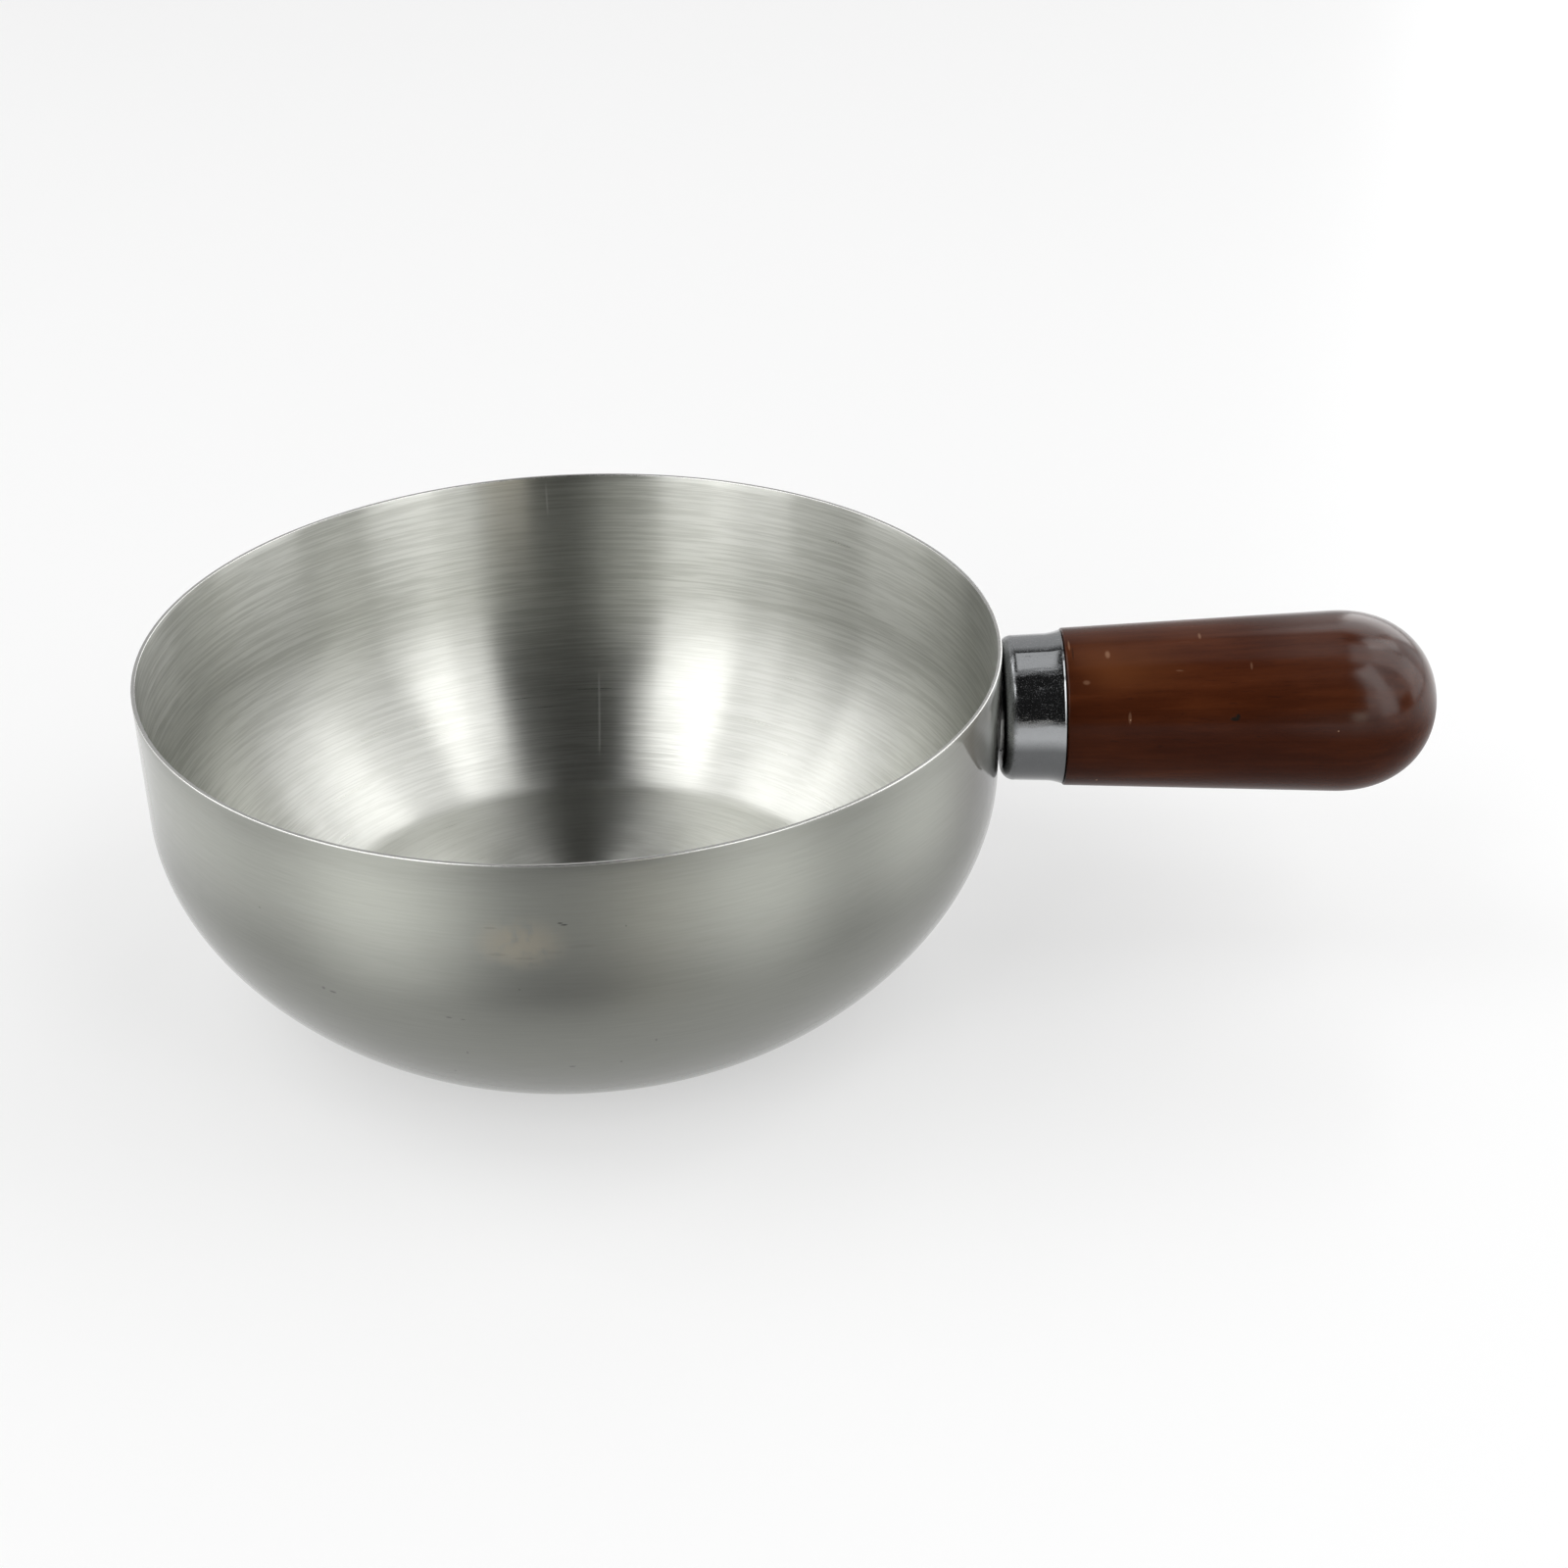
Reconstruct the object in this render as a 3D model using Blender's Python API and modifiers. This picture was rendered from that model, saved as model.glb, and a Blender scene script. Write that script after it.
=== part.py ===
"""Ramen pot: a small round steel saucepan with a chromed ferrule and a turned wooden grip.

The origin is the centre of the flat base, +Z is up and the handle points along +X.
"""
import math

import bmesh
import bpy

mm = 0.001

# Clearances between neighbouring pieces
seat_gap = 0.3 * mm

# Bowl
rim_radius = 90.0 * mm
bowl_height = 70.0 * mm
bowl_sheet = 0.9 * mm
wall_draft = math.radians(0.86)
straight_wall = 27.7 * mm
base_radius = 62.0 * mm
belly_angle = math.radians(29.5)
belly_upper_pull = 21.9 * mm
belly_lower_pull = 4.2 * mm
base_corner = 8.0 * mm
rim_edge = 0.12 * mm

# Handle line, measured down from the rim
handle_drop = 17.1 * mm

# Ferrule, a drawn cup with its closed end against the bowl
ferrule_length = 12.4 * mm
ferrule_radius = 15.3 * mm
ferrule_swell = 0.25 * mm
ferrule_mouth_flare = 0.65 * mm
ferrule_flare_length = 3.2 * mm
ferrule_corner = 2.6 * mm
ferrule_sheet = 0.8 * mm

# Weld stud, with a flange that fills the hole in the ferrule
stud_radius = 4.0 * mm
stud_length = 26.0 * mm
stud_flange_radius = 9.0 * mm
stud_point = 0.8 * mm

# Flat washer, spring washer and thin nut that clamp the ferrule
washer_thickness = 1.2 * mm
washer_margin = 0.6 * mm
spring_radius = 7.2 * mm
spring_thickness = 2.0 * mm
spring_lift = 0.6 * mm
spring_split = math.radians(14.0)
nut_flats = 13.0 * mm
nut_thickness = 4.0 * mm
nut_face_share = 0.96
nut_chamfer_angle = math.radians(30)

# Threaded insert in the grip
insert_radius = 6.0 * mm
insert_length = 20.0 * mm
insert_chamfer = 0.5 * mm

# Wooden grip
grip_length = 78.9 * mm
grip_step = 0.4 * mm
grip_taper = math.radians(2.48)
grip_dome_length = 22.1 * mm
grip_dome_power = 2.11
grip_shoulder_round = 0.4 * mm
tenon_length = 6.0 * mm
nut_pocket_clearance = 1.0 * mm
grip_bore_spare = 4.0 * mm
drill_point_angle = math.radians(30)

# Facets round each turned piece
bowl_steps = 96
handle_steps = 48
hardware_steps = 32

# Facets along each curved stretch of a profile
belly_steps = 14
base_corner_steps = 3
ferrule_flare_steps = 4
ferrule_corner_steps = 5
grip_dome_steps = 11
grip_shoulder_steps = 3

# How far a cutter reaches past the piece that it cuts
cutter_reach = 10.0 * mm

# Places along the handle line, counted from the bowl's axis
handle_height = bowl_height - handle_drop
ferrule_flat_radius = ferrule_radius - ferrule_corner


def wall_radius(height):
    """Outside radius of the upright wall at a height above the base."""
    return rim_radius - (bowl_height - height) * math.tan(wall_draft)


ferrule_back = wall_radius(handle_height + ferrule_flat_radius) + seat_gap
ferrule_mouth = ferrule_back + ferrule_length
ferrule_inner_end = ferrule_back + ferrule_sheet
washer_start = ferrule_inner_end + seat_gap
spring_start = washer_start + washer_thickness + seat_gap
nut_start = spring_start + spring_thickness + spring_lift + seat_gap
insert_start = nut_start + nut_thickness + seat_gap
grip_shoulder = ferrule_mouth + seat_gap
grip_shoulder_radius = ferrule_radius + ferrule_mouth_flare + ferrule_swell + grip_step
grip_butt = grip_shoulder + grip_length
stud_tip = ferrule_inner_end + stud_length


def srgb(red, green, blue):
    """Linear colour of a screen colour given from 0 to 255."""
    def linear(value):
        value = value / 255
        if value <= 0.04045:
            return value / 12.92
        return ((value + 0.055) / 1.055) ** 2.4
    return (linear(red), linear(green), linear(blue), 1.0)


def clear_scene():
    for thing in list(bpy.data.objects):
        bpy.data.objects.remove(thing, do_unlink=True)


def make_collection(name):
    collection = bpy.data.collections.new(name)
    bpy.context.scene.collection.children.link(collection)
    return collection


def make_material(name, colour, roughness, metallic):
    material = bpy.data.materials.new(name)
    material.use_nodes = True
    shader = material.node_tree.nodes["Principled BSDF"]
    shader.inputs["Base Color"].default_value = colour
    shader.inputs["Roughness"].default_value = roughness
    shader.inputs["Metallic"].default_value = metallic
    material.diffuse_color = colour
    return material


def arc(centre, radius, start, end, count):
    """Points of an arc in the profile plane, from one angle to another."""
    points = []
    for i in range(count + 1):
        angle = start + (end - start) * i / count
        points.append((centre[0] + radius * math.cos(angle), centre[1] + radius * math.sin(angle)))
    return points


def bezier(p0, p1, p2, p3, count):
    """Points of a cubic curve, both ends included."""
    points = []
    for i in range(count + 1):
        t = i / count
        weights = ((1 - t) ** 3, 3 * t * (1 - t) ** 2, 3 * t * t * (1 - t), t ** 3)
        radius = sum(w * p[0] for w, p in zip(weights, (p0, p1, p2, p3)))
        height = sum(w * p[1] for w, p in zip(weights, (p0, p1, p2, p3)))
        points.append((radius, height))
    return points


def turned(name, profile, steps, collection, material, closed=False):
    """A profile of (radius, height) points, top to bottom, turned about local Z."""
    mesh = bpy.data.meshes.new(name)
    points = [(radius, 0.0, height) for radius, height in profile]
    edges = [(i, i + 1) for i in range(len(points) - 1)]
    if closed:
        edges.append((len(points) - 1, 0))
    mesh.from_pydata(points, edges, [])
    piece = bpy.data.objects.new(name, mesh)
    collection.objects.link(piece)
    screw = piece.modifiers.new("turn", "SCREW")
    screw.axis = "Z"
    screw.steps = steps
    screw.render_steps = steps
    screw.use_merge_vertices = True
    screw.merge_threshold = 0.00001
    screw.use_smooth_shade = True
    if material:
        mesh.materials.append(material)
    return piece


def as_cutter(piece):
    piece.hide_render = True
    piece.display_type = "WIRE"
    return piece


def cut(piece, cutter, operation="DIFFERENCE"):
    boolean = piece.modifiers.new(operation.lower() + "_" + cutter.name, "BOOLEAN")
    boolean.operation = operation
    boolean.solver = "EXACT"
    boolean.object = cutter


def bowl_outline():
    """Outer skin of the bowl, from the rim down to the centre of the base."""
    wall_foot = (wall_radius(bowl_height - straight_wall), bowl_height - straight_wall)
    setback = base_corner * math.tan(belly_angle / 2)
    slope = (math.cos(belly_angle), math.sin(belly_angle))
    belly_end = (base_radius + setback * slope[0], setback * slope[1])
    upper = (
        wall_foot[0] - belly_upper_pull * math.sin(wall_draft),
        wall_foot[1] - belly_upper_pull * math.cos(wall_draft),
    )
    lower = (
        belly_end[0] + belly_lower_pull * slope[0],
        belly_end[1] + belly_lower_pull * slope[1],
    )
    corner_centre = (base_radius - setback, base_corner)
    down = -math.pi / 2
    outline = [(rim_radius, bowl_height)]
    outline += bezier(wall_foot, upper, lower, belly_end, belly_steps)
    outline += arc(corner_centre, base_corner, down + belly_angle, down, base_corner_steps)[1:]
    outline.append((0.0, 0.0))
    return outline


def make_bowl(collection):
    steel = make_material("satin steel", srgb(178, 178, 172), 0.28, 1.0)
    bowl = turned("bowl", bowl_outline(), bowl_steps, collection, steel)
    shell = bowl.modifiers.new("sheet", "SOLIDIFY")
    shell.thickness = bowl_sheet
    shell.offset = -1.0
    shell.use_even_offset = True
    edge = bowl.modifiers.new("rim edge", "BEVEL")
    edge.width = rim_edge
    edge.segments = 1
    edge.limit_method = "ANGLE"
    edge.angle_limit = math.radians(60)
    return bowl


def make_handle_line(collection):
    """An empty whose local Z runs out along the handle."""
    line = bpy.data.objects.new("handle_line", None)
    line.location = (0.0, 0.0, handle_height)
    line.rotation_euler = (0.0, math.pi / 2, 0.0)
    collection.objects.link(line)
    return line


def on_line(piece, line, start=0.0):
    piece.parent = line
    piece.location = (0.0, 0.0, start)
    return piece


def make_weld_stud(collection, cutters, line):
    """Turned stud whose flange back is scribed to the round wall of the bowl."""
    steel = make_material("stud steel", srgb(150, 150, 148), 0.4, 1.0)
    flange_front = ferrule_inner_end
    flange_back = wall_radius(handle_height) - cutter_reach
    profile = [
        (0.0, stud_tip),
        (stud_radius - stud_point, stud_tip),
        (stud_radius, stud_tip - stud_point),
        (stud_radius, flange_front),
        (stud_flange_radius, flange_front),
        (stud_flange_radius, flange_back),
        (0.0, flange_back),
    ]
    stud = turned("weld_stud", profile, hardware_steps, collection, steel)
    on_line(stud, line)
    outline = bowl_outline()
    room = [(0.0, bowl_height + cutter_reach)]
    room.append((wall_radius(bowl_height + cutter_reach) + seat_gap, bowl_height + cutter_reach))
    room += [(radius + seat_gap, height) for radius, height in outline[:-1]]
    room.append((0.0, 0.0))
    bowl_room = as_cutter(turned("bowl_room", room, bowl_steps, cutters, None))
    cut(stud, bowl_room)
    return stud


def ferrule_outline():
    """Outer skin of the ferrule, from its mouth back to the hole in its end."""
    end_of_corner = ferrule_back + ferrule_corner
    flare_start = ferrule_mouth - ferrule_flare_length
    body_end_radius = ferrule_radius + ferrule_swell
    outline = []
    for i in range(ferrule_flare_steps + 1):
        out = 1 - i / ferrule_flare_steps
        outline.append((body_end_radius + ferrule_mouth_flare * out ** 2, flare_start + ferrule_flare_length * out))
    corner_centre = (ferrule_flat_radius, end_of_corner)
    outline += arc(corner_centre, ferrule_corner, 0.0, -math.pi / 2, ferrule_corner_steps)
    outline.append((stud_flange_radius + seat_gap, ferrule_back))
    return outline


def make_ferrule(collection, line):
    chrome = make_material("chrome plate", srgb(205, 208, 212), 0.06, 1.0)
    ferrule = turned("ferrule", ferrule_outline(), handle_steps, collection, chrome)
    shell = ferrule.modifiers.new("sheet", "SOLIDIFY")
    shell.thickness = ferrule_sheet
    shell.offset = -1.0
    shell.use_even_offset = True
    return on_line(ferrule, line)


def make_flat_washer(collection, line):
    steel = make_material("washer steel", srgb(160, 160, 158), 0.35, 1.0)
    outer = ferrule_flat_radius - washer_margin
    inner = stud_radius + seat_gap
    profile = [
        (outer, washer_thickness),
        (outer, 0.0),
        (inner, 0.0),
        (inner, washer_thickness),
    ]
    washer = turned("flat_washer", profile, hardware_steps, collection, steel, closed=True)
    return on_line(washer, line, washer_start)


def make_spring_washer(collection, line):
    """One split turn of square wire, its far end lifted."""
    steel = make_material("spring steel", srgb(120, 120, 122), 0.4, 1.0)
    inner = stud_radius + seat_gap
    mesh = bpy.data.meshes.new("spring_washer")
    section = bmesh.new()
    corners = [
        (inner, 0.0, 0.0),
        (spring_radius, 0.0, 0.0),
        (spring_radius, 0.0, spring_thickness),
        (inner, 0.0, spring_thickness),
    ]
    face = section.faces.new([section.verts.new(corner) for corner in corners])
    turns = hardware_steps
    bmesh.ops.spin(
        section,
        geom=[face] + list(face.edges) + list(face.verts),
        cent=(0.0, 0.0, 0.0),
        axis=(0.0, 0.0, 1.0),
        dvec=(0.0, 0.0, spring_lift / turns),
        angle=2 * math.pi - spring_split,
        steps=turns,
        use_merge=False,
        use_duplicate=False,
    )
    bmesh.ops.recalc_face_normals(section, faces=section.faces)
    section.to_mesh(mesh)
    section.free()
    mesh.materials.append(steel)
    washer = bpy.data.objects.new("spring_washer", mesh)
    collection.objects.link(washer)
    return on_line(washer, line, spring_start)


def make_hex_nut(collection, cutters, line):
    steel = make_material("nut steel", srgb(165, 165, 160), 0.35, 1.0)
    corner_radius = nut_flats / 2 / math.cos(math.pi / 6)
    mesh = bpy.data.meshes.new("hex_nut")
    blank = bmesh.new()
    bmesh.ops.create_cone(
        blank,
        cap_ends=True,
        segments=6,
        radius1=corner_radius,
        radius2=corner_radius,
        depth=nut_thickness,
    )
    blank.to_mesh(mesh)
    blank.free()
    mesh.materials.append(steel)
    nut = bpy.data.objects.new("hex_nut", mesh)
    collection.objects.link(nut)
    on_line(nut, line, nut_start + nut_thickness / 2)

    half = nut_thickness / 2
    face_radius = nut_flats / 2 * nut_face_share
    chamfer = corner_radius - face_radius
    drop = chamfer * math.tan(nut_chamfer_angle)
    barrel = [
        (0.0, half),
        (face_radius, half),
        (corner_radius + chamfer, half - 2 * drop),
        (corner_radius + chamfer, 2 * drop - half),
        (face_radius, -half),
        (0.0, -half),
    ]
    rounding = as_cutter(turned("nut_rounding", barrel, hardware_steps, cutters, None))
    on_line(rounding, line, nut_start + half)
    cut(nut, rounding, "INTERSECT")

    bore = [
        (0.0, nut_thickness),
        (stud_radius + seat_gap, nut_thickness),
        (stud_radius + seat_gap, -nut_thickness),
        (0.0, -nut_thickness),
    ]
    nut_bore = as_cutter(turned("nut_bore", bore, hardware_steps, cutters, None))
    on_line(nut_bore, line, nut_start + half)
    cut(nut, nut_bore)
    return nut


def make_insert(collection, line):
    brass = make_material("insert brass", srgb(190, 155, 85), 0.35, 1.0)
    inner = stud_radius + seat_gap
    profile = [
        (insert_radius - insert_chamfer, insert_length),
        (insert_radius, insert_length - insert_chamfer),
        (insert_radius, insert_chamfer),
        (insert_radius - insert_chamfer, 0.0),
        (inner, 0.0),
        (inner, insert_length),
    ]
    insert = turned("threaded_insert", profile, hardware_steps, collection, brass, closed=True)
    return on_line(insert, line, insert_start)


def grip_radius(distance):
    """Outside radius of the grip at a distance from its shoulder."""
    radius = grip_shoulder_radius + distance * math.tan(grip_taper)
    into_dome = distance - (grip_length - grip_dome_length)
    if into_dome > 0:
        share = min(into_dome / grip_dome_length, 1.0)
        radius *= (1 - share ** grip_dome_power) ** (1 / grip_dome_power)
    return radius


def grip_outline():
    """Whole skin of the grip, from the butt round the tenon to the bottom of its bore."""
    tenon_radius = ferrule_radius - ferrule_sheet - seat_gap
    tenon_end = grip_shoulder - tenon_length
    pocket_radius = nut_flats / 2 / math.cos(math.pi / 6) + nut_pocket_clearance
    bore_radius = insert_radius + seat_gap
    bore_end = max(insert_start + insert_length, stud_tip) + grip_bore_spare
    outline = [(0.0, grip_butt)]
    for i in range(1, grip_dome_steps + 1):
        turn = math.pi / 2 * (1 - i / grip_dome_steps)
        distance = grip_length - grip_dome_length * (1 - math.sin(turn))
        outline.append((grip_radius(distance), grip_shoulder + distance))
    shoulder_centre = (grip_radius(grip_shoulder_round) - grip_shoulder_round, grip_shoulder + grip_shoulder_round)
    outline += arc(shoulder_centre, grip_shoulder_round, 0.0, -math.pi / 2, grip_shoulder_steps)
    outline += [
        (tenon_radius, grip_shoulder),
        (tenon_radius, tenon_end),
        (pocket_radius, tenon_end),
        (pocket_radius, insert_start),
        (bore_radius, insert_start),
        (bore_radius, bore_end),
        (0.0, bore_end + bore_radius * math.tan(drill_point_angle)),
    ]
    return outline


def make_grip(collection, line):
    wood = make_material("lacquered wood", srgb(92, 42, 26), 0.35, 0.0)
    grip = turned("grip", grip_outline(), handle_steps, collection, wood)
    return on_line(grip, line)


def mark_sharp_edges(collection):
    """Rounded faces shade smooth and corners over 40 degrees stay crisp."""
    for piece in collection.objects:
        if piece.type == "MESH":
            piece.data.shade_smooth()
            piece.data.set_sharp_from_angle(angle=math.radians(40))


def build():
    clear_scene()
    pot = make_collection("ramen_pot")
    cutters = make_collection("cutters")
    make_bowl(pot)
    line = make_handle_line(pot)
    make_weld_stud(pot, cutters, line)
    make_ferrule(pot, line)
    make_flat_washer(pot, line)
    make_spring_washer(pot, line)
    make_hex_nut(pot, cutters, line)
    make_insert(pot, line)
    make_grip(pot, line)
    mark_sharp_edges(pot)


build()
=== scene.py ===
# Ramen pot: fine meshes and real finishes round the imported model
import math

import bpy
from mathutils import Matrix, Vector


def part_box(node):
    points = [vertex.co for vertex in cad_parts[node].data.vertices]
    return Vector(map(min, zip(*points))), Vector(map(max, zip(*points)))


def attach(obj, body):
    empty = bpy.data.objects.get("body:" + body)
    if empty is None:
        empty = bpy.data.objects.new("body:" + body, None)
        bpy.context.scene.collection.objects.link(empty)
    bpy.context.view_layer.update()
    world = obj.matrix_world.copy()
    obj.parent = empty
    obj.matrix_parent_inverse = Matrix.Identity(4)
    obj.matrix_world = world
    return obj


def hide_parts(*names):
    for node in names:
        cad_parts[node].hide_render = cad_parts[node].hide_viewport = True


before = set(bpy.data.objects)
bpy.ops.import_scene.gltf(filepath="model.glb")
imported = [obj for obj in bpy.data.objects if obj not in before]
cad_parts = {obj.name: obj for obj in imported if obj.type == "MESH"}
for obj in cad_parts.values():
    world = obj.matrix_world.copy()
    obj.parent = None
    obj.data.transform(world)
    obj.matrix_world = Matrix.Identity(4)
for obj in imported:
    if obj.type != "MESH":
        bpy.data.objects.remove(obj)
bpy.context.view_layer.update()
print("frame loaded:", len(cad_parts), "nodes")

mm = 0.001
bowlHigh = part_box("bowl")[1]
ferruleLow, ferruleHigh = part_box("ferrule")
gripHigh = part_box("grip")[1]
handleHeight = (ferruleLow.z + ferruleHigh.z) / 2

weldDistance = 0.002 * mm
smoothAngle = math.radians(50)
roundedAngle = math.radians(60)
down = -math.pi / 2
middle = 0.5  # the mean of a noise


def deselectAll():
    if bpy.context.object and bpy.context.object.mode == "EDIT":
        bpy.ops.object.mode_set(mode="OBJECT")
    bpy.ops.object.select_all(action="DESELECT")


def curvePoints(pulls, count):  # cubic curve from the first to the last of four points
    points = []
    for i in range(count + 1):
        t = i / count
        weights = ((1 - t) ** 3, 3 * t * (1 - t) ** 2, 3 * t * t * (1 - t), t ** 3)
        points.append([sum(w * pull[k] for w, pull in zip(weights, pulls)) for k in (0, 1)])
    return points


def arcPoints(centre, radius, start, end, count):
    points = []
    for i in range(count + 1):
        angle = start + (end - start) * i / count
        points.append((centre[0] + radius * math.cos(angle), centre[1] + radius * math.sin(angle)))
    return points


def linePoints(start, end, count):  # the end is left to what follows
    points = []
    for i in range(count):
        t = i / count
        points.append((start[0] + (end[0] - start[0]) * t, start[1] + (end[1] - start[1]) * t))
    return points


def turn(name, points, centre, axis, steps):
    # one vertex is extruded along the outline, and the outline is spun about the axis
    deselectAll()
    bpy.ops.mesh.primitive_plane_add(size=mm, location=points[0])
    piece = bpy.context.object
    piece.name = name
    piece.data.name = name
    bpy.ops.object.transform_apply(location=True, rotation=True, scale=True)
    bpy.ops.object.mode_set(mode="EDIT")
    bpy.ops.mesh.select_all(action="SELECT")
    bpy.ops.mesh.merge(type="CENTER")
    for here, there in zip(points, points[1:]):
        step = Vector(there) - Vector(here)
        bpy.ops.mesh.extrude_vertices_move(TRANSFORM_OT_translate={"value": step})
    bpy.ops.mesh.select_all(action="SELECT")
    bpy.ops.mesh.spin(
        steps=steps, angle=math.tau, center=centre, axis=axis, use_auto_merge=True
    )
    bpy.ops.mesh.select_all(action="SELECT")
    bpy.ops.mesh.remove_doubles(threshold=weldDistance)
    bpy.ops.mesh.normals_make_consistent(inside=False)
    bpy.ops.object.mode_set(mode="OBJECT")
    return piece


def applyModifier(piece, kind, **settings):
    modifier = piece.modifiers.new(kind.lower(), kind)
    for setting, value in settings.items():
        setattr(modifier, setting, value)
    bpy.ops.object.modifier_apply(modifier=modifier.name)


def roundEdges(piece, width, segments):
    applyModifier(
        piece, "BEVEL", width=width, segments=segments,
        limit_method="ANGLE", angle_limit=roundedAngle,
    )


# Shader sums: a Wire is a node's output that takes part in Python expressions
class Wire:
    def __init__(self, tree, socket):
        self.tree = tree
        self.socket = socket

    def node(self, kind, settings, inputs, output=0):
        made = self.tree.nodes.new(kind)
        for setting, value in settings.items():
            if setting == "stops":
                ramp = made.color_ramp.elements
                while len(ramp) < len(value):
                    ramp.new(1.0)
                for element, (place, colour) in zip(ramp, value):
                    element.position = place
                    element.color = colour
            else:
                setattr(made, setting, value)
        for key, value in inputs.items():
            if isinstance(value, Wire):
                self.tree.links.new(value.socket, made.inputs[key])
            else:
                made.inputs[key].default_value = value
        return Wire(self.tree, made.outputs[output])

    def combine(self, operation, first, second):
        def isVector(value):
            return isinstance(value, Wire) and value.socket.type == "VECTOR"

        kind, places = "ShaderNodeMath", (0, 1)
        if isVector(first) or isVector(second):
            kind = "ShaderNodeVectorMath"
            if operation == "MULTIPLY" and not isVector(second):
                operation, places = "SCALE", (0, 3)
        return self.node(kind, {"operation": operation}, dict(zip(places, (first, second))))

    def __add__(self, other):
        return self.combine("ADD", self, other)

    def __radd__(self, other):
        return self.combine("ADD", other, self)

    def __sub__(self, other):
        return self.combine("SUBTRACT", self, other)

    def __rsub__(self, other):
        return self.combine("SUBTRACT", other, self)

    def __mul__(self, other):
        return self.combine("MULTIPLY", self, other)

    def __rmul__(self, other):
        return self.combine("MULTIPLY", self, other)

    def __truediv__(self, other):
        return self.combine("DIVIDE", self, other)

    def __pow__(self, other):
        return self.combine("POWER", self, other)


def newFinish(name):
    material = bpy.data.materials.new(name)
    material.use_nodes = True
    material.node_tree.nodes.clear()
    return material, Wire(material.node_tree, None)


def finishWith(f, shader):
    out = f.tree.nodes.new("ShaderNodeOutputMaterial")
    f.tree.links.new(shader.socket, out.inputs["Surface"])


def principled(f, inputs):
    finishWith(f, f.node("ShaderNodeBsdfPrincipled", {}, inputs))


def objectPlace(f):
    return f.node("ShaderNodeTexCoord", {}, {}, "Object")


def surfaceNormal(f):
    return f.node("ShaderNodeNewGeometry", {}, {}, "Normal")


def split(f, vector):
    made = f.tree.nodes.new("ShaderNodeSeparateXYZ")
    f.tree.links.new(vector.socket, made.inputs[0])
    return [Wire(f.tree, socket) for socket in made.outputs]


def join(f, x, y, z):
    return f.node("ShaderNodeCombineXYZ", {}, {0: x, 1: y, 2: z})


def vectorMath(f, operation, first, second=None):
    inputs = {0: first} if second is None else {0: first, 1: second}
    return f.node("ShaderNodeVectorMath", {"operation": operation}, inputs)


def noise(f, vector, scale=1.0, detail=2.0, rough=0.5):
    inputs = {"Vector": vector, "Scale": scale, "Detail": detail, "Roughness": rough}
    return f.node("ShaderNodeTexNoise", {}, inputs, "Fac")


def between(f, value, low, high, start=0.0, end=1.0):  # smooth step from low to high
    inputs = {"Value": value, "From Min": low, "From Max": high, "To Min": start, "To Max": end}
    return f.node("ShaderNodeMapRange", {"interpolation_type": "SMOOTHSTEP"}, inputs)


def mixColour(f, factor, first, second):
    return f.node("ShaderNodeMix", {"data_type": "RGBA"}, {0: factor, 6: first, 7: second}, 2)


def mixVector(f, factor, first, second):
    return f.node("ShaderNodeMix", {"data_type": "VECTOR"}, {0: factor, 4: first, 5: second}, 1)


def bumped(f, depth, height, normal=None):
    inputs = {"Strength": 1.0, "Distance": depth, "Height": height}
    if normal is not None:
        inputs["Normal"] = normal
    return f.node("ShaderNodeBump", {}, inputs, "Normal")


def spot(f, place, centre, size, rim=0.35):  # 1 inside a soft ellipsoid, 0 outside
    scaled = vectorMath(f, "DIVIDE", vectorMath(f, "SUBTRACT", place, centre), size)
    far = f.node("ShaderNodeVectorMath", {"operation": "LENGTH"}, {0: scaled}, 1)
    return between(f, far, 1.0, rim)


def spots(f, place, marks):  # marks in millimetres, each with its strength
    total = 0.0
    for centre, size, strength in marks:
        total = spot(f, place, Vector(centre) * mm, Vector(size) * mm) * strength + total
    return total


def weighed(patterns, shares):  # the sum of some patterns, each with its share
    return sum(pattern * share for pattern, share in zip(patterns, shares))


def upright(f, place, azimuth, low, high, halfWidth):  # a thin line up the wall at one azimuth
    x, y, z = split(f, place)
    fade, backFade = 2 * mm, 20 * mm
    a = math.radians(azimuth)
    aside = x * math.sin(a) - y * math.cos(a)
    ahead = x * math.cos(a) + y * math.sin(a)
    thin = between(f, aside * aside, halfWidth ** 2, 0.0)
    ends = between(f, z, low - fade, low + fade) * between(f, z, high + fade, high - fade)
    return thin * ends * between(f, ahead, 0.0, backFade)


def roundTheAxis(f):
    # cosine, sine, a path that grows from the floor's centre to the rim, and the height
    x, y, z = split(f, objectPlace(f))
    tiny = 0.001 * mm  # nothing is divided by zero on the axis
    radius = (x * x + y * y) ** 0.5 + tiny
    return x / radius, y / radius, z + radius, z


def streaks(f, cosine, sine, path, turns, lines, detail, shift):
    # long thin marks that run round the bowl; lines are counted per millimetre
    lined = join(f, cosine * turns, sine * turns, path * (lines / mm) + shift)
    return noise(f, lined, detail=detail)


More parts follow.
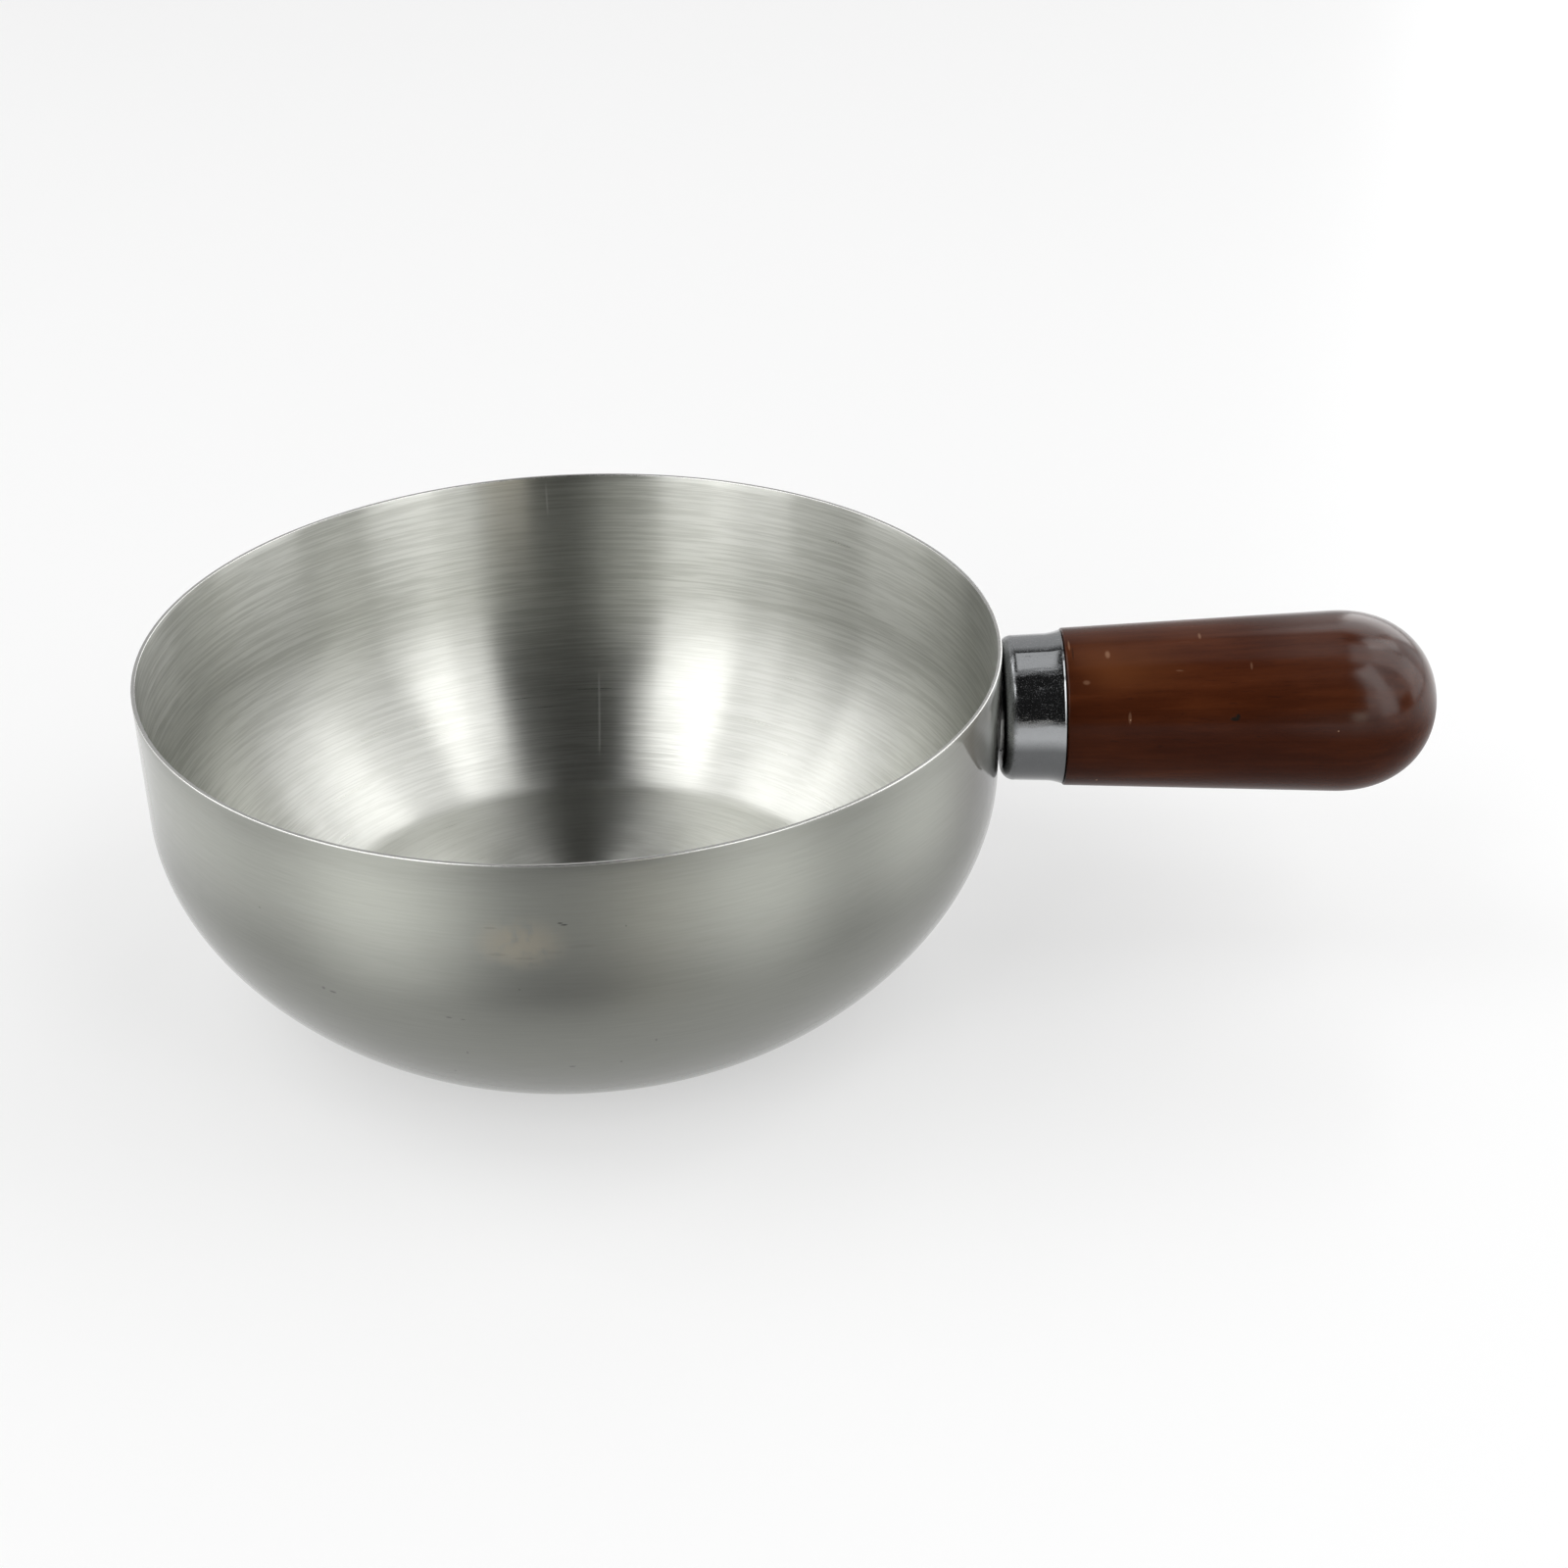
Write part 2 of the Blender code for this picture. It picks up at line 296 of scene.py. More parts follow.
insideLook = {
    "bright": (0.685, 0.69, 0.655, 1),
    "dull": (0.56, 0.565, 0.53, 1),
    # brush marks: turns round the bowl, lines per millimetre, noise detail and shift
    "fine": (6.5, 2.7, 1.5, 0.0),
    "long": (3.2, 1.3, 1.5, 31.0),
    "short": (13.0, 2.1, 1.5, 67.0),
    "broad": (2.2, 0.08, 3.0, 11.0),
    # what each of them counts in the shade, the tilt and the scratches
    "shadeShares": (0.3, 0.4, 0.2, 0.1),
    "tiltShares": (0.6, 0.4),
    "scratchShares": (0.5, 0.5),
    "shadeRange": (0.41, 0.59),
    "floorEdge": (1.5 * mm, 6.0 * mm),
    "floorContrast": 0.45,
    "roughness": 0.30,
    "roughnessSpread": 0.10,
    "anisotropic": 1.0,
    "sway": 0.006,
    "grooveTilt": 0.16,
    "grooveLean": 0.11,
    "leanFrom": 28.0 * mm,
    "leanTo": 62.0 * mm,
    "scratchDepth": 0.004 * mm,
    # upright lines: azimuth, lowest and highest point, half width, strength
    "lines": [
        (96.75, 61.0 * mm, 67.5 * mm, 0.30 * mm, 0.6),
        (90.0, 6.5 * mm, 20.8 * mm, 0.30 * mm, 0.4),
    ],
    "lineColour": (1.0, 1.0, 0.97, 1),
    "lineRoughness": 0.25,
}
alongTheGrooves = 0.25  # the anisotropic rotation that stretches highlights across the grooves


def insideSteel():
    look = insideLook
    material, f = newFinish("insideSteel")
    cosine, sine, path, z = roundTheAxis(f)
    fine, long, short, broad = [
        streaks(f, cosine, sine, path, *look[mark]) for mark in ("fine", "long", "short", "broad")
    ]
    # every groove leans a little its own way, and high up the wall all lean up
    normal = surfaceNormal(f)
    around = join(f, sine * -1.0, cosine, 0.0)
    downTheWall = vectorMath(f, "CROSS_PRODUCT", normal, around)
    sway = (long + short - 2 * middle) * look["sway"]
    lean = between(f, z, look["leanFrom"], look["leanTo"]) * look["grooveLean"]
    tilt = (weighed((fine, long), look["tiltShares"]) - middle) * look["grooveTilt"] - lean
    tilted = vectorMath(f, "NORMALIZE", normal + around * sway + downTheWall * tilt)
    scratches = weighed((fine, short), look["scratchShares"])
    bump = bumped(f, look["scratchDepth"], scratches, tilted)
    marks = weighed((fine, long, short, broad), look["shadeShares"])
    shade = between(f, marks, *look["shadeRange"])
    contrast = between(f, z, *look["floorEdge"], look["floorContrast"], 1.0)
    shade = (shade - middle) * contrast + middle
    colour = mixColour(f, shade, look["dull"], look["bright"])
    lines = 0.0
    for azimuth, low, high, halfWidth, strength in look["lines"]:
        lines = upright(f, objectPlace(f), azimuth, low, high, halfWidth) * strength + lines
    rough = (long - middle) * look["roughnessSpread"] + look["roughness"]
    principled(f, {
        "Base Color": mixColour(f, lines, colour, look["lineColour"]),
        "Metallic": 1.0,
        "Roughness": rough + lines * look["lineRoughness"],
        "Anisotropic": look["anisotropic"],
        "Anisotropic Rotation": alongTheGrooves,
        "Normal": bump,
    })
    return material


stain = {
    "centre": (-5.0 * mm, -89.7 * mm, 53.2 * mm),
    "size": (11.0 * mm, 8.0 * mm, 7.2 * mm),
    "soft": 0.2,
    "blotScale": 240.0,
    "blotRange": (0.36, 0.52),
    "colour": (0.365, 0.338, 0.272, 1),
    "strength": 0.85,
    "roughness": 0.06,
}

# small marks on the outside: place and size in millimetres, strength
scuffs = {
    "colour": (0.06, 0.06, 0.055, 1),
    "roughness": 0.2,
    "places": [
        ((2.5, -89.8, 57.6), (0.7, 2.0, 0.22), 1.0),
        ((3.2, -89.8, 57.2), (0.9, 2.0, 0.25), 1.0),
        ((-9.5, -89.4, 50.7), (2.4, 2.0, 0.5), 0.16),
        ((-4.4, -89.8, 49.9), (3.0, 2.0, 0.5), 0.20),
        ((1.2, -89.8, 51.2), (2.0, 2.0, 0.45), 0.20),
        ((6.0, -89.7, 52.3), (3.4, 2.0, 0.7), 0.14),
        ((-10.5, -89.2, 56.5), (1.6, 2.0, 0.35), 0.16),
        ((-42.7, -78.0, 35.9), (1.0, 2.0, 0.35), 0.55),
        ((-44.6, -77.0, 36.2), (0.5, 2.0, 0.5), 0.45),
        ((-19.9, -86.5, 35.2), (0.8, 2.0, 0.25), 0.5),
        ((-17.2, -87.0, 35.0), (0.6, 2.0, 0.2), 0.4),
        ((-17.4, -83.1, 24.8), (0.25, 2.5, 0.6), 0.4),
        ((2.4, -82.5, 20.7), (0.9, 3.0, 0.3), 0.5),
        ((11.8, -82.1, 21.3), (0.3, 3.0, 0.4), 0.45),
        ((-20.9, -76.7, 16.3), (0.35, 3.0, 0.35), 0.4),
        ((18.8, -84.1, 27.5), (0.3, 3.0, 0.5), 0.35),
        ((-56.4, -69.8, 50.1), (0.3, 3.0, 0.3), 0.3),
        ((-5.9, -89.4, 43.0), (0.35, 2.0, 0.3), 0.35),
        ((14.5, -88.6, 56.0), (0.25, 2.0, 0.25), 0.4),
    ],
}

outsideLook = {
    "bright": (0.350, 0.358, 0.322, 1),
    "dull": (0.310, 0.318, 0.284, 1),
    "fine": (10.0, 2.2, 2.0, 0.0),
    "cloudScale": 11.0,
    "shadeShares": (0.5, 0.5),
    "shadeRange": (0.25, 0.75),
    "roughness": 0.42,
    "roughnessSpread": 0.04,
    "anisotropic": 0.3,
    "grooveLean": 0.42,
    # painted shade: the steel is darker round the belly and under the rim, a painted reflection of
    # the shaded floor
    "paintedShadeColour": (0.0, 0.0, 0.0, 1),
    "paintedShadeBand": (-10.0 * mm, 8.0 * mm, 38.0 * mm, 59.0 * mm),
    "bandShade": 0.40,
    "paintedShadeUnderRim": (62.0 * mm, 72.0 * mm),
    "underRimShade": 0.20,
    # painted shadow and a painted reflection of the ferrule, on the wall round the handle's foot
    # behind the ferrule
    "footShadowColour": (0.01, 0.01, 0.01, 1),
    "handleFoot": ((90.0 * mm, 0.0, 53.0 * mm), (14.0 * mm, 20.0 * mm, 20.0 * mm), 0.6),
    "footShade": 0.85,
    "polish": 0.9,
    "polishIor": 1.45,
    "polishRoughness": 0.05,
    "scratchDepth": 0.0006 * mm,
}


def outsideSteel():
    look = outsideLook
    material, f = newFinish("outsideSteel")
    cosine, sine, path, z = roundTheAxis(f)
    place = objectPlace(f)
    fine = streaks(f, cosine, sine, path, *look["fine"])
    cloud = noise(f, place, look["cloudScale"])
    normal = surfaceNormal(f)
    upTheWall = vectorMath(f, "CROSS_PRODUCT", normal, join(f, sine * -1.0, cosine, 0.0))
    leaned = vectorMath(f, "NORMALIZE", normal + upTheWall * look["grooveLean"])
    shade = between(f, weighed((cloud, fine), look["shadeShares"]), *look["shadeRange"])
    colour = mixColour(f, shade, look["dull"], look["bright"])
    # painted shade round the belly and under the rim, standing in for the mirrored shaded floor
    foot, lower, upper, top = look["paintedShadeBand"]
    dark = between(f, z, foot, lower) * between(f, z, top, upper) * look["bandShade"]
    dark = between(f, z, *look["paintedShadeUnderRim"]) * look["underRimShade"] + dark
    colour = mixColour(f, dark, colour, look["paintedShadeColour"])
    # painted shadow and reflection of the ferrule round the handle's foot
    paintedFootShadow = spot(f, place, *look["handleFoot"]) * look["footShade"]
    colour = mixColour(f, paintedFootShadow, colour, look["footShadowColour"])
    blot = between(f, noise(f, place, stain["blotScale"], detail=3.0), *stain["blotRange"])
    stained = spot(f, place, stain["centre"], stain["size"], stain["soft"]) * blot
    colour = mixColour(f, stained * stain["strength"], colour, stain["colour"])
    scuffed = spots(f, place, scuffs["places"])
    rough = (cloud - middle) * look["roughnessSpread"] + look["roughness"]
    principled(f, {
        "Base Color": mixColour(f, scuffed, colour, scuffs["colour"]),
        "Metallic": 1.0,
        "Roughness": rough + stained * stain["roughness"] + scuffed * scuffs["roughness"],
        "Anisotropic": look["anisotropic"],
        "Anisotropic Rotation": alongTheGrooves,
        "Coat Weight": look["polish"],
        "Coat IOR": look["polishIor"],
        "Coat Roughness": look["polishRoughness"],
        "Normal": bumped(f, look["scratchDepth"], fine, leaned),
    })
    return material


rimLook = {
    "tones": ((0.58, 0.58, 0.56, 1), (0.72, 0.72, 0.70, 1)),
    "cloudScale": 900.0,
    "roughness": 0.18,
    "roughnessSpread": 0.1,
}


def rimSteel():
    material, f = newFinish("rimSteel")
    cloud = noise(f, objectPlace(f), rimLook["cloudScale"])
    principled(f, {
        "Base Color": mixColour(f, cloud, *rimLook["tones"]),
        "Metallic": 1.0,
        "Roughness": cloud * rimLook["roughnessSpread"] + rimLook["roughness"],
    })
    return material


bowl = {
    "sheet": 0.9 * mm,
    "wallDraft": math.radians(0.86),
    "straightWall": 27.7 * mm,
    "baseRadius": 62.0 * mm,
    "bellyAngle": math.radians(29.5),
    "bellyUpperPull": 21.9 * mm,
    "bellyLowerPull": 4.2 * mm,
    "baseCorner": 8.0 * mm,
    "rimRound": 0.22 * mm,
    "rimSegments": 3,
    # a face is the rim's or the floor's if its normal rises more than this
    "rimRise": 0.2,
    "floorRise": 0.5,
    "inwards": 0.05 * mm,
    "turns": 256,
    "wallRings": 12,
    "bellyRings": 44,
    "cornerRings": 10,
    "baseRings": 8,
}


def bowlOutline():
    rimRadius = bowlHigh.y
    height = bowlHigh.z
    draft, belly = bowl["wallDraft"], bowl["bellyAngle"]
    foot = (rimRadius - bowl["straightWall"] * math.tan(draft), height - bowl["straightWall"])
    setback = bowl["baseCorner"] * math.tan(belly / 2)
    slope = (math.cos(belly), math.sin(belly))
    bellyEnd = (bowl["baseRadius"] + setback * slope[0], setback * slope[1])
    upperPull, lowerPull = bowl["bellyUpperPull"], bowl["bellyLowerPull"]
    upper = (foot[0] - upperPull * math.sin(draft), foot[1] - upperPull * math.cos(draft))
    lower = (bellyEnd[0] + lowerPull * slope[0], bellyEnd[1] + lowerPull * slope[1])
    cornerCentre = (bowl["baseRadius"] - setback, bowl["baseCorner"])
    outline = linePoints((rimRadius, height), foot, bowl["wallRings"])
    outline += curvePoints((foot, upper, lower, bellyEnd), bowl["bellyRings"])
    corner = arcPoints(cornerCentre, bowl["baseCorner"], down + belly, down, bowl["cornerRings"])
    outline += corner[1:]
    outline += linePoints(outline.pop(), (0.0, 0.0), bowl["baseRings"])
    outline.append((0.0, 0.0))
    return outline


def makeBowl():
    points = [(radius, 0.0, height) for radius, height in bowlOutline()]
    piece = turn("potBowl", points, (0, 0, 0), (0, 0, 1), bowl["turns"])
    applyModifier(
        piece, "SOLIDIFY", thickness=bowl["sheet"], offset=-1.0, use_even_offset=True
    )
    roundEdges(piece, bowl["rimRound"], bowl["rimSegments"])
    bpy.ops.object.shade_smooth_by_angle(angle=smoothAngle)
    for material in (outsideSteel(), insideSteel(), rimSteel()):
        piece.data.materials.append(material)
    # the rim's top has its own finish, and so has what looks to the axis or up from the floor
    inside, rim = 1, 2
    rimStart = bowlHigh.z - 1.5 * bowl["rimRound"]
    for face in piece.data.polygons:
        outward = face.normal.x * face.center.x + face.normal.y * face.center.y
        onFloor = face.normal.z > bowl["floorRise"] and face.center.z < bowlHigh.z / 2
        if face.center.z > rimStart and face.normal.z > bowl["rimRise"]:
            face.material_index = rim
        elif outward < -bowl["inwards"] or onFloor:
            face.material_index = inside
    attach(piece, "root")
    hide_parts("bowl")
    print("bowl:", len(piece.data.polygons), "faces")


ferrule = {
    "length": 12.4 * mm,
    "radius": 15.3 * mm,
    "swell": 0.25 * mm,
    "back": 0.25 * mm,
    "mouthFlare": 0.70 * mm,
    "flareLength": 3.6 * mm,
    "flarePower": 1.9,
    "corner": 2.6 * mm,
    "cornerLength": 2.8 * mm,
    "sheet": 0.8 * mm,
    "holeRadius": 9.3 * mm,
    "edgeRound": 0.38 * mm,
    "edgeSegments": 5,
    "turns": 160,
    "flareRings": 18,
    "bodyRings": 8,
    "cornerRings": 18,
}
ferruleMouth = ferruleLow.x + ferrule["length"]
ferruleBack = ferruleLow.x - ferrule["back"]
cornerEnd = ferruleBack + ferrule["cornerLength"]

chromeLook = {
    "tones": ((0.36, 0.37, 0.38, 1), (0.41, 0.42, 0.43, 1)),
    "cloudScale": 260.0,
    "roughness": 0.05,
    "roughnessSpread": 0.03,
    "speckScale": 6000.0,
    "speckRange": (0.55, 0.75),
    "speckRoughness": 0.26,
    "smearScales": (90.0, 420.0),
    "smearRange": (0.48, 0.72),
    "smearRoughness": 0.20,
    # the corner's polish is worn, painted shade darkens the sleeve underneath, and a painted
    # shadow fills the slit
    "worn": (0.3 * mm, -0.6 * mm),
    "wornRoughness": 0.15,
    "paintedUnderShade": (1.0 * mm, -3.0 * mm),
    "belowShade": 0.66,
    "underShadeColour": (0.02, 0.02, 0.02, 1),
    "paintedSlitShadow": (0.5 * mm, -0.05 * mm),
    "slitShade": 0.9,
    "slitShadowColour": (0.01, 0.01, 0.01, 1),
    # the flare is burnished nearly flat, so that it mirrors as the straight sleeve does
    "flatFrom": (-0.5 * mm, 0.5 * mm),
    "flatTo": (-0.25 * mm, -0.45 * mm),
    "flatShare": 0.85,
    "rippleScale": 120.0,
    "rippleDepth": 0.01 * mm,
}


def stepFrom(f, value, origin, ends):  # a smooth step with its ends counted from an origin
    return between(f, value, origin + ends[0], origin + ends[1])


def chrome():
    look = chromeLook
    material, f = newFinish("ferruleChrome")
    place = objectPlace(f)
    x, y, z = split(f, place)
    cloud = noise(f, place, look["cloudScale"], detail=3.0)
    dust = between(f, noise(f, place, look["speckScale"], detail=1.0), *look["speckRange"])
    along, across = look["smearScales"]
    smear = noise(f, join(f, x * along, y * across, z * across), detail=4.0, rough=0.6)
    smeared = between(f, smear, *look["smearRange"]) * look["smearRoughness"]
    worn = stepFrom(f, x, cornerEnd, look["worn"]) * look["wornRoughness"]
    rough = cloud * look["roughnessSpread"] + look["roughness"]
    colour = mixColour(f, cloud, *look["tones"])
    # painted shade on the sleeve's underside
    paintedUnderShade = stepFrom(f, z, handleHeight, look["paintedUnderShade"]) * look["belowShade"]
    colour = mixColour(f, paintedUnderShade, colour, look["underShadeColour"])
    # painted shadow in the slit behind the ferrule
    paintedSlitShadow = stepFrom(f, x, ferruleLow.x, look["paintedSlitShadow"]) * look["slitShade"]
    colour = mixColour(f, paintedSlitShadow, colour, look["slitShadowColour"])
    radial = vectorMath(f, "NORMALIZE", join(f, 0.0, y, z - handleHeight))
    flat = stepFrom(f, x, cornerEnd, look["flatFrom"])
    flat = stepFrom(f, x, ferruleMouth, look["flatTo"]) * flat * look["flatShare"]
    eased = mixVector(f, flat, surfaceNormal(f), radial)
    ripple = noise(f, place, look["rippleScale"])
    principled(f, {
        "Base Color": colour,
        "Metallic": 1.0,
        "Roughness": rough + dust * look["speckRoughness"] + smeared + worn,
        "Normal": bumped(f, look["rippleDepth"], ripple, vectorMath(f, "NORMALIZE", eased)),
    })
    return material


def insideLine(points, sheet, limit):
    # the same line one sheet thickness inside, cut off square at the mouth
    inner = []
    for i, (radius, along) in enumerate(points):
        before = points[max(i - 1, 0)]
        after = points[min(i + 1, len(points) - 1)]
        run = math.dist(before, after)
        inwards = (after[1] - before[1]) / run
        forwards = (before[0] - after[0]) / run
        inner.append((radius + inwards * sheet, min(along + forwards * sheet, limit)))
    return inner


def makeFerrule():
    flareStart = ferruleMouth - ferrule["flareLength"]
    bodyEnd = ferrule["radius"] + ferrule["swell"]
    outline = []
    for i in range(ferrule["flareRings"] + 1):
        out = 1 - i / ferrule["flareRings"]
        lift = ferrule["mouthFlare"] * out ** ferrule["flarePower"]
        outline.append((bodyEnd + lift, flareStart + ferrule["flareLength"] * out))
    outline += linePoints(outline.pop(), (ferrule["radius"], cornerEnd), ferrule["bodyRings"])
    # the corner is a quarter circle, stretched along the sleeve
    stretch = ferrule["cornerLength"] / ferrule["corner"]
    cornerStart = ferrule["radius"] - ferrule["corner"]
    for out, along in arcPoints((0.0, 0.0), ferrule["corner"], 0, down, ferrule["cornerRings"]):
        outline.append((cornerStart + out, cornerEnd + along * stretch))
    outline.append((ferrule["holeRadius"], ferruleBack))
    outline += insideLine(outline, ferrule["sheet"], ferruleMouth)[::-1] + outline[:1]
    points = [(along, 0.0, handleHeight + radius) for radius, along in outline]
    piece = turn("handleFerrule", points, (0, 0, handleHeight), (1, 0, 0), ferrule["turns"])
    roundEdges(piece, ferrule["edgeRound"], ferrule["edgeSegments"])
    bpy.ops.object.shade_smooth_by_angle(angle=smoothAngle)
    piece.data.materials.append(chrome())
    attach(piece, "root")
    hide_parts("ferrule")
    print("ferrule:", len(piece.data.polygons), "faces")


grip = {
    "length": 78.9 * mm,
    "shoulderRadius": 16.6 * mm,
    "taper": math.radians(2.48),
    "domeLength": 22.1 * mm,
    "domePower": 2.11,
    "shoulderRound": 0.4 * mm,
    "tenonLength": 6.0 * mm,
    "tenonRadius": 14.2 * mm,
    "pocketRadius": 8.5 * mm,
    "boreRadius": 6.3 * mm,
    "boreStart": 99.1 * mm,
    "boreEnd": 123.0 * mm,
    "boreTip": 3.6 * mm,
    "turns": 160,
    "domeRings": 40,
    "bodyRings": 30,
    "shoulderRings": 6,
}


woodLook = {
    "tones": [
        (0.0, (0.033, 0.0072, 0.0024, 1)),
        (0.5, (0.050, 0.0116, 0.0036, 1)),
        (1.0, (0.074, 0.0185, 0.0056, 1)),
    ],
    "toneShares": (0.45, 0.55),
    "toneRange": (0.32, 0.68),
    # scales of the patterns, along the grip and across it
    "warpScales": (14.0, 50.0),
    "grainScales": (30.0, 420.0),
    "poreScales": (260.0, 3200.0),
    "patchScale": 26.0,
    "peelScale": 760.0,
    "poreRange": (0.60, 0.74),
    "pore": (0.020, 0.006, 0.0035, 1),
    "poreShare": 0.45,
    "roughness": 0.22,
    "roughnessSpread": 0.08,
    "gloss": 0.05,
    # heights of the patterns in shares of the relief
    "relief": 0.03 * mm,
    "grainHeight": 0.10,
    "poreDepth": 0.15,
    "patchHeight": 1.2,
    "peel": 0.9,
    "notchDepth": 1.5,
    "chipDepth": 0.6,
    # the lacquer is worn off underneath, and thinner where the hand holds the grip
    "lacquer": 0.85,
    "lacquerRoughness": 0.19,
    "lacquerFrom": -1.0 * mm,
    "lacquerTo": 8.0 * mm,
    "lacquerSway": 8.0 * mm,
    "butt": (138.0 * mm, 158.0 * mm, 0.35, 1.0),
    "warm": (0.105, 0.032, 0.010, 1),
    "warmPlace": (Vector((112.0, -8.0, 66.0)) * mm, Vector((22.0, 16.0, 6.0)) * mm, 0.0),
    "warmRange": (0.35, 0.65),
    # notches and chips: place and size in millimetres, strength
    "notchColour": (0.012, 0.008, 0.006, 1),
    "notches": [
        ((137.0, -17.2, 58.2), (1.3, 2.0, 0.55), 1.0),
        ((137.6, -17.1, 58.8), (0.6, 2.0, 0.55), 1.0),
        ((104.4, -6.0, 68.4), (0.25, 3.0, 1.2), 0.5),
    ],
    "chipColour": (0.42, 0.24, 0.15, 1),
    "chips": [
        ((111.5, -6.9, 68.4), (0.7, 1.6, 0.8), 0.32),
        ((103.8, -3.6, 69.0), (0.3, 2.6, 0.8), 0.28),
        ((130.9, -3.2, 70.4), (0.4, 1.4, 0.6), 0.28),
        ((106.8, -11.8, 64.6), (1.0, 1.6, 0.5), 0.20),
        ((115.5, -16.2, 58.4), (0.45, 2.0, 1.6), 0.18),
        ((115.6, -16.4, 58.0), (0.2, 2.0, 0.2), 0.6),
        ((109.5, -13.0, 42.2), (0.3, 1.5, 0.25), 0.8),
        ((158.1, -18.8, 55.7), (0.22, 1.5, 0.22), 0.7),
        ((140.7, -11.0, 67.2), (0.35, 1.5, 0.9), 0.18),
        ((126.0, -10.6, 66.5), (1.2, 1.5, 0.2), 0.15),
    ],
}


def stretched(f, place, scales, shift=0.0):  # long along the grip, fine across it
    x, y, z = split(f, place)
    along, across = scales
    return join(f, x * along + shift, y * across, z * across)


def wood():
    look = woodLook
    material, f = newFinish("gripWood")
    place = objectPlace(f)
    x, y, z = split(f, place)
    warp = noise(f, stretched(f, place, look["warpScales"]))
    grain = noise(f, stretched(f, place, look["grainScales"], warp), detail=4.0, rough=0.6)
    pores = noise(f, stretched(f, place, look["poreScales"]))
    patches = noise(f, place, look["patchScale"], detail=3.0)
    peel = noise(f, place, look["peelScale"])
    tone = between(f, weighed((grain, patches), look["toneShares"]), *look["toneRange"])
    colour = f.node("ShaderNodeValToRGB", {"stops": look["tones"]}, {0: tone})
    pore = between(f, pores, *look["poreRange"])
    colour = mixColour(f, pore * look["poreShare"], colour, look["pore"])
    warm = spot(f, place, *look["warmPlace"]) * between(f, patches, *look["warmRange"])
    colour = mixColour(f, warm, colour, look["warm"])
    notch = spots(f, place, look["notches"])
    chip = spots(f, place, look["chips"])
    colour = mixColour(f, chip, colour, look["chipColour"])
    colour = mixColour(f, notch, colour, look["notchColour"])
    height = grain * look["grainHeight"] - pore * look["poreDepth"] + patches * look["patchHeight"]
    height = height + peel * look["peel"] - notch * look["notchDepth"] - chip * look["chipDepth"]
    above = z - handleHeight + (patches - middle) * look["lacquerSway"]
    lacquer = between(f, above, look["lacquerFrom"], look["lacquerTo"], 0.0, look["lacquer"])
    principled(f, {
        "Base Color": colour,
        "Metallic": 0.0,
        "Roughness": grain * look["roughnessSpread"] + look["roughness"],
        "Specular IOR Level": look["gloss"],
        "Coat Weight": lacquer * between(f, x, *look["butt"]),
        "Coat Roughness": look["lacquerRoughness"],
        "Normal": bumped(f, look["relief"], height),
    })
    return material


def gripRadius(distance):
    radius = grip["shoulderRadius"] + distance * math.tan(grip["taper"])
    into = distance - (grip["length"] - grip["domeLength"])
    if into > 0:
        share = min(into / grip["domeLength"], 1.0)
        radius *= (1 - share ** grip["domePower"]) ** (1 / grip["domePower"])
    return radius


def makeGrip():
    shoulder = gripHigh.x - grip["length"]
    outline = [(0.0, gripHigh.x)]
    for i in range(1, grip["domeRings"] + 1):
        lift = math.sin(math.pi / 2 * (1 - i / grip["domeRings"]))
        distance = grip["length"] - grip["domeLength"] * (1 - lift)
        outline.append((gripRadius(distance), shoulder + distance))
    edge = grip["shoulderRound"]
    edgeRadius = gripRadius(edge)
    outline += linePoints(outline.pop(), (edgeRadius, shoulder + edge), grip["bodyRings"])
    edgeCentre = (edgeRadius - edge, shoulder + edge)
    outline += arcPoints(edgeCentre, edge, 0, down, grip["shoulderRings"])
    tenonEnd = shoulder - grip["tenonLength"]
    outline += [
        (grip["tenonRadius"], shoulder),
        (grip["tenonRadius"], tenonEnd),
        (grip["pocketRadius"], tenonEnd),
        (grip["pocketRadius"], grip["boreStart"]),
        (grip["boreRadius"], grip["boreStart"]),
        (grip["boreRadius"], grip["boreEnd"]),
        (0.0, grip["boreEnd"] + grip["boreTip"]),
    ]
    points = [(along, 0.0, handleHeight + radius) for radius, along in outline]
    piece = turn("handleGrip", points, (0, 0, handleHeight), (1, 0, 0), grip["turns"])
    bpy.ops.object.shade_smooth_by_angle(angle=smoothAngle)
    piece.data.materials.append(wood())
    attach(piece, "root")
    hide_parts("grip")
    print("grip:", len(piece.data.polygons), "faces")


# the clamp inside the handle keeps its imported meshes
hardware = {
    "steel": ((0.40, 0.40, 0.39, 1), (0.56, 0.56, 0.54, 1)),
    "steelRoughness": 0.28,
    "brass": ((0.52, 0.35, 0.13, 1), (0.68, 0.50, 0.22, 1)),
    "brassRoughness": 0.25,
    "markScales": (2500.0, 90.0),
    "markDepth": 0.01 * mm,
    "roughnessSpread": 0.15,
}


def turnedMetal(name, tones, roughness):
    material, f = newFinish(name)
    marks = noise(f, stretched(f, objectPlace(f), hardware["markScales"]), detail=3.0)
    principled(f, {
        "Base Color": mixColour(f, marks, *tones),
        "Metallic": 1.0,
        "Roughness": marks * hardware["roughnessSpread"] + roughness,
        "Normal": bumped(f, hardware["markDepth"], marks),
    })
    return material


def dressHardware():
    steel = turnedMetal("hardwareSteel", hardware["steel"], hardware["steelRoughness"])
    brass = turnedMetal("insertBrass", hardware["brass"], hardware["brassRoughness"])
    for name in ("weld_stud", "flat_washer", "spring_washer", "hex_nut", "threaded_insert"):
        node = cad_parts[name]
        node.data.materials.clear()
        node.data.materials.append(brass if name == "threaded_insert" else steel)
    print("hardware dressed")


